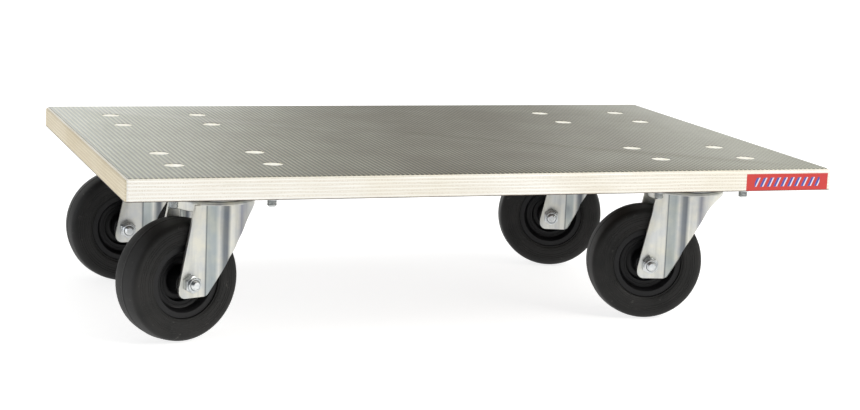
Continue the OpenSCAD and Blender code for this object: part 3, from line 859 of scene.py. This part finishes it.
# %% One side of the fork
def side_outline():
    """Outline of one side in the castor's x and z, with the rear sweep as an arc."""
    touch_x = LEG_BACK_X + (SWEEP_TOUCH_Z - LEG_BOTTOM) * math.tan(REAR_LEAN)
    middle = Vector((touch_x + SWEEP_R * math.cos(REAR_LEAN),
                     SWEEP_TOUCH_Z - SWEEP_R * math.sin(REAR_LEAN)))
    first = math.pi - REAR_LEAN
    last = math.acos((CROWN_R - middle.x) / SWEEP_R)
    angles = [first + (last - first) * k / 24 for k in range(25)]
    sweep = [(middle.x + SWEEP_R * math.cos(a), middle.y + SWEEP_R * math.sin(a)) for a in angles]
    front_top_x = LEG_FRONT_X + (LEG_TOP - LEAN_START) * FRONT_LEAN
    return ([(LEG_FRONT_X, LEG_BOTTOM), (LEG_BACK_X, LEG_BOTTOM)] + sweep
            + [(CROWN_R, LEG_TOP), (front_top_x, LEG_TOP), (LEG_FRONT_X, LEAN_START)])


def fork_side():
    """One leg with its flare and round as folded sheet, at +Y, as a closed bmesh."""
    bm = bmesh.new()
    verts = [bm.verts.new((along(x), 0, z)) for x, z in side_outline()]
    bm.faces.new(verts)
    for corner, reach in ((verts[0], FRONT_CORNER), (verts[1], BACK_CORNER)):
        bmesh.ops.bevel(bm, geom=[corner], offset=reach, offset_type="OFFSET", segments=7,
                        profile=0.5, affect="VERTICES", material=-1)
    step = CROWN_R * TURN / CROWN_STEPS
    cut_at = BLANK_END - step
    while cut_at > -BEND - step:
        bmesh.ops.bisect_plane(bm, geom=bm.verts[:] + bm.edges[:] + bm.faces[:],
                               plane_co=(cut_at, 0, 0), plane_no=(1, 0, 0), dist=1e-3)
        cut_at -= step
    for v in bm.verts:
        flute = flute_depth(v.co.x) * min(1, (LEG_TOP - v.co.z) / FLUTE_FADE)
        v.co.x, v.co.y = bent(v.co.x) * (1 - flute / CROWN_R)
    for face in bm.faces:
        if face.normal.y < 0:
            face.normal_flip()
    bm.normal_update()
    bmesh.ops.solidify(bm, geom=bm.faces[:], thickness=SHEET)
    bmesh.ops.recalc_face_normals(bm, faces=bm.faces)
    sheared = [e for e in bm.edges if len(e.link_faces) == 2
               and e.calc_face_angle(0) > math.radians(60)
               and min(v.co.z for v in e.verts) < LEG_TOP - 0.5]
    bmesh.ops.bevel(bm, geom=sheared, offset=LEG_BEVEL, offset_type="OFFSET", segments=2,
                    profile=0.5, affect="EDGES", material=-1, clamp_overlap=True)
    return bm


# %% Crown, skirt and legs
def fork():
    """The whole fork in its castor's frame."""
    edge = [(CROWN_R - CROWN_EDGE_R * (1 - math.sin(a)),
             CROWN_TOP - CROWN_EDGE_R * (1 - math.cos(a)))
            for a in [math.pi / 2 * k / 6 for k in range(7)]]
    crown = spun([(KINGPIN_R, LEG_TOP), (KINGPIN_R, CROWN_TOP)] + edge + [(CROWN_R, LEG_TOP)],
                 steps=CROWN_STEPS)
    inner = CROWN_R - SHEET
    section = [(CROWN_R, LEG_TOP), (CROWN_R, SKIRT_BOTTOM + SKIRT_BEVEL),
               (CROWN_R - SKIRT_BEVEL, SKIRT_BOTTOM), (inner + SKIRT_BEVEL, SKIRT_BOTTOM),
               (inner, SKIRT_BOTTOM + SKIRT_BEVEL), (inner, LEG_TOP)]
    meets_leg = math.pi - math.asin((LEG_OUT - SKIRT_OVERLAP) / CROWN_R)
    start = Matrix.Rotation(meets_leg, 3, "Z")
    skirt = bmesh.new()
    face = skirt.faces.new([skirt.verts.new(start @ Vector((r, 0, z))) for r, z in section])
    bmesh.ops.spin(skirt, geom=[face] + face.edges[:] + face.verts[:], cent=(0, 0, 0),
                   axis=(0, 0, 1), dvec=(0, 0, 0), angle=TURN - 2 * meets_leg, steps=48,
                   use_merge=False, use_duplicate=False)
    bmesh.ops.recalc_face_normals(skirt, faces=skirt.faces)
    sides = moved(fork_side(), Matrix.Identity(4), Matrix.Scale(-1, 4, (0, 1, 0)))
    bmesh.ops.recalc_face_normals(sides, faces=sides.faces)
    draw = sides.verts.layers.float.new(DRAW)
    for v in sides.verts:
        v[draw] = DRAW_START + along(v.co.x)
    return joined(sides, crown, skirt)


fork_mesh = bpy.data.meshes.new("fork_master")
FORK = fork()
print("fork", len(FORK.faces), "faces, open edges", sum(len(e.link_faces) != 2 for e in FORK.edges),
      "box", [round(f(v.co[i] for v in FORK.verts), 2) for i in range(3) for f in (min, max)])
FORK.to_mesh(fork_mesh)
FORK.free()

# %% Place the forks
for castor in CASTORS:
    bm = bmesh.new()
    bm.from_mesh(fork_mesh)
    finished(bm, castor + "_pressed_fork", castor + "_castor", ZINC_SHEET,
             [castor + "_fork"], place=PLACES[castor])

# %% [markdown]
# ## Axle
# A hexagon bolt runs through both legs with its head on the far side, and a
# self-locking nut holds it on the near side, where a short end of thread stands out.
# Both reuse the sections above, turned from Z to the axle's direction.


# %% Axle bolts and nuts
AXLE_HEAD_H = 5.5
AXLE_TAIL = 2.3
TO_AXLE = Matrix.Translation(AXLE) @ Matrix.Rotation(math.pi / 2, 4, "X")

tip = LEG_OUT + NUT_H + AXLE_TAIL
turns = [(r, -z) for r, z in thread(-tip, -LEG_OUT)][::-1]
for castor in CASTORS:
    shank = spun([(0, -LEG_OUT), (SHANK_R, -LEG_OUT), (SHANK_R, LEG_OUT - 1)] + turns + [(0, tip)],
                 steps=40)
    head = hexagon(-LEG_OUT - AXLE_HEAD_H, -LEG_OUT, top_chamfer=False)
    finished(joined(shank, head), castor + "_axle_screw", castor + "_castor",
             ZINC_FASTENER, [castor + "_axle_bolt"], place=PLACES[castor] @ TO_AXLE)
    nut = moved(locking_nut(-LEG_OUT - NUT_H, -LEG_OUT), Matrix.Scale(-1, 4, (0, 0, 1)))
    bmesh.ops.reverse_faces(nut, faces=nut.faces)
    finished(nut, castor + "_axle_locknut", castor + "_castor", ZINC_FASTENER,
             [castor + "_axle_nut"], place=PLACES[castor] @ TO_AXLE)
print("axle from head to tip:", round(LEG_OUT + AXLE_HEAD_H + tip, 1), "mm")

# %% [markdown]
# ## Wheel
# Tyre and rim are both solids of revolution, so each is a spun section. The tyre's
# tread is slightly crowned, with the mould's parting line round its middle, and its
# side wall carries fine rings. The rim steps down from the tyre's seat to a ring with
# a shallow channel, then to a deep pocket, and rises again to the hub. Modelling the
# rings as bumps would lose them at the wheel's outline, so they are in the section.

# %% Tyre section
TYRE_HALF = 16.5
SEAT_R = 30.0
SHOULDER_R = 5.5
TREAD_CROWN_R = 70.0
RING_H = 0.22
WALL_RINGS = (33.4, 35.0, 38.4, 40.4, 42.2)


def mirrored_section(half):
    """Closed section from its half at positive height."""
    return half + [(r, -z) for r, z in reversed(half)]


def tyre_section():
    wall_z = TYRE_HALF - RING_H
    points = [(SEAT_R + 0.05, 3.2), (SEAT_R + 0.05, TYRE_HALF - 2.4),
              (SEAT_R + 0.3, TYRE_HALF - 1.1), (SEAT_R + 1.0, TYRE_HALF - 1.2),
              (SEAT_R + 1.5, TYRE_HALF - 0.8), (SEAT_R + 2.2, wall_z)]
    for ring_r in WALL_RINGS:
        points += [(ring_r - 0.45, wall_z), (ring_r - 0.15, TYRE_HALF), (ring_r + 0.15, TYRE_HALF),
                   (ring_r + 0.45, wall_z)]
    centre_z = TYRE_HALF - SHOULDER_R
    tread_centre = WHEEL_R - TREAD_CROWN_R
    centre_r = tread_centre + math.sqrt((TREAD_CROWN_R - SHOULDER_R) ** 2 - centre_z ** 2)
    touch = math.acos(centre_z / (TREAD_CROWN_R - SHOULDER_R))
    shoulder = SHOULDER_R - RING_H
    points += [(centre_r + shoulder * math.sin(a), centre_z + shoulder * math.cos(a))
               for a in [touch * k / 9 for k in range(10)]]
    crown = TREAD_CROWN_R - RING_H
    reach = math.pi / 2 - touch
    points += [(tread_centre + crown * math.cos(a), crown * math.sin(a))
               for a in [reach * k / 6 for k in (5, 4, 3, 2, 1)]]
    return points + [(WHEEL_R - RING_H, 0.7), (WHEEL_R, 0.35)]


# %% Rim section
HUB_HALF = 18.0
HUB_BORE = 8.6
HUB_R = 11.0
RIM_HALF = TYRE_HALF - 2.5
RING_Z = 7.0


def rim_section():
    hub = [(HUB_BORE, HUB_HALF - 0.4), (HUB_BORE + 0.4, HUB_HALF), (HUB_R - 0.5, HUB_HALF),
           (HUB_R, HUB_HALF - 0.5)]
    pocket = [(HUB_R + 0.5, 2.9), (HUB_R + 1.3, 2.1), (HUB_R + 2.2, 1.8), (HUB_R + 4.8, 1.8),
              (HUB_R + 5.7, 2.4), (HUB_R + 6, 3.2)]
    ring = [(HUB_R + 6, RING_Z - 0.5), (HUB_R + 6.5, RING_Z), (HUB_R + 7.8, RING_Z),
            (HUB_R + 8.1, RING_Z - 0.4), (HUB_R + 9.1, RING_Z - 0.4), (HUB_R + 9.4, RING_Z),
            (SEAT_R - 8.0, RING_Z), (SEAT_R - 7.3, RING_Z + 0.4)]
    flange = [(SEAT_R - 5.2, RIM_HALF - 0.6), (SEAT_R - 4.6, RIM_HALF), (SEAT_R - 0.4, RIM_HALF),
              (SEAT_R, RIM_HALF - 0.4), (SEAT_R, 3), (SEAT_R + 2, 3)]
    return hub + pocket + ring + flange


# %% Place the wheels
for castor in CASTORS:
    tyre = spun(mirrored_section(tyre_section()), steps=144)
    tyre_piece = finished(tyre, castor + "_rubber_tyre", castor + "_wheel", RUBBER,
                          [castor + "_tyre"], place=PLACES[castor] @ TO_AXLE)
    rim = spun(mirrored_section(rim_section()))
    rim_piece = finished(rim, castor + "_moulded_rim", castor + "_wheel",
                         RIM_PLASTIC, [castor + "_wheel_rim"], place=PLACES[castor] @ TO_AXLE)
print("tyre", len(tyre_piece.data.polygons), "faces, rim", len(rim_piece.data.polygons), "faces")

# %% [markdown]
# ## Pieces that keep their CAD shape
# The label, and the plates, races, balls, tubes, cages and underside film, of which
# little shows, are already the right shape. They keep their CAD meshes and only get
# their finishes.

# %% Finishes on CAD nodes
KEPT = {"mounting_plate": ZINC_SHEET, "kingpin": ZINC_FASTENER, "lower_race": ZINC_SHEET,
        "upper_balls": BEARING_STEEL, "lower_balls": BEARING_STEEL, "axle_tube": BEARING_STEEL,
        "roller_cage": CAGE_PLASTIC, "rollers": BEARING_STEEL}
kept_nodes = {castor + "_" + piece: finish for castor in CASTORS for piece, finish in KEPT.items()}
kept_nodes.update({"backing_film": BACKING_FILM, "edge_label": LABEL})
for name, finish in kept_nodes.items():
    piece = frame["nodes"][name]
    if not piece.material_slots:
        piece.data.materials.append(None)
    for place in piece.material_slots:
        place.link = "OBJECT"
        place.material = finish
print(len(kept_nodes), "CAD nodes keep their shape")

# %% [markdown]
# ## Floor and light
# The dolly stands on a light table, a pale sheet that glows a little, so that hardly
# a shadow falls and the undersides of the forks are lit from below. Soft boxes at the
# right and left and a broad one overhead do the rest. Two weak window-like boxes stand
# behind: the film mirrors them at its two ends, and its middle mirrors the darker
# room between. The room is dark only on the camera's side, which gives the zinc both
# light and dark to mirror, so that every fold of the forks shows.

# %% Floor
FLOOR_HALF_M = 14
FLOOR_GLOW = 0.82

floor_bm = bmesh.new()
bmesh.ops.create_grid(floor_bm, x_segments=1, y_segments=1, size=FLOOR_HALF_M)
floor_mesh = bpy.data.meshes.new("floor")
floor_bm.to_mesh(floor_mesh)
floor_bm.free()
floor = bpy.data.objects.new("floor", floor_mesh)
bpy.context.scene.collection.objects.link(floor)
light_table = material("light table, matt white", Roughness=0.9, Specular_IOR_Level=0.1,
                       Base_Color=linear("#B0B0AF"), Emission_Color=linear("#FFFFFF"),
                       Emission_Strength=FLOOR_GLOW)[0]
floor_mesh.materials.append(light_table)
print("floor", 2 * FLOOR_HALF_M, "m wide")


# %% Lamps
def soft_box(name, place, aim, size, power, colour="#FFFFFF"):
    """Rectangular area lamp at place, turned to aim; size in metres, power in watts."""
    data = bpy.data.lights.new(name, "AREA")
    data.shape = "RECTANGLE"
    data.size, data.size_y = size
    data.energy = power
    data.color = linear(colour)[:3]
    lamp = bpy.data.objects.new(name, data)
    lamp.location = place
    lamp.rotation_mode = "QUATERNION"
    lamp.rotation_quaternion = (Vector(aim) - Vector(place)).to_track_quat("-Z", "Y")
    bpy.context.scene.collection.objects.link(lamp)


soft_box("key_right", (2.3, -2.1, 2.2), (0.1, 0, 0.08), (2.6, 1.9), 112, "#FFFDF8")
soft_box("fill_left", (-2.6, -0.5, 0.8), (0, 0, 0.08), (1.4, 1.2), 14, "#F6F8FF")
soft_box("overhead", (0.2, 0.2, 2.6), (0, 0, 0), (3.0, 2.4), 24)
soft_box("window_left", (-0.3, 3.0, 0.86), (-0.3, 0, 0.14), (1.9, 1.5), 12.5)
soft_box("window_right", (2.35, 3.0, 0.86), (1.2, 0, 0.14), (1.8, 1.5), 9)

TO_CAMERA = Vector((-0.42, -0.90, 0.10))
world = bpy.data.worlds.new("studio")
world.use_nodes = True
sky = world.node_tree
direction = node(sky, "ShaderNodeTexCoord").outputs["Generated"]
towards = node(sky, "ShaderNodeVectorMath", {0: direction, 1: TO_CAMERA}, operation="DOT_PRODUCT")
share = node(sky, "ShaderNodeMapRange", {"Value": towards.outputs["Value"]},
             From_Min=-0.2, From_Max=1.0)
room = node(sky, "ShaderNodeValToRGB", {"Fac": share},
            [(0.0, "#B4B5B4"), (0.40, "#BDBDBB"), (0.66, "#36434F"), (1.0, "#0B1016")])
sky.links.new(room.outputs["Color"], sky.nodes["Background"].inputs["Color"])
bpy.context.scene.world = world
bpy.context.scene.view_settings.view_transform = "Standard"
print(len(bpy.data.lights), "soft boxes")
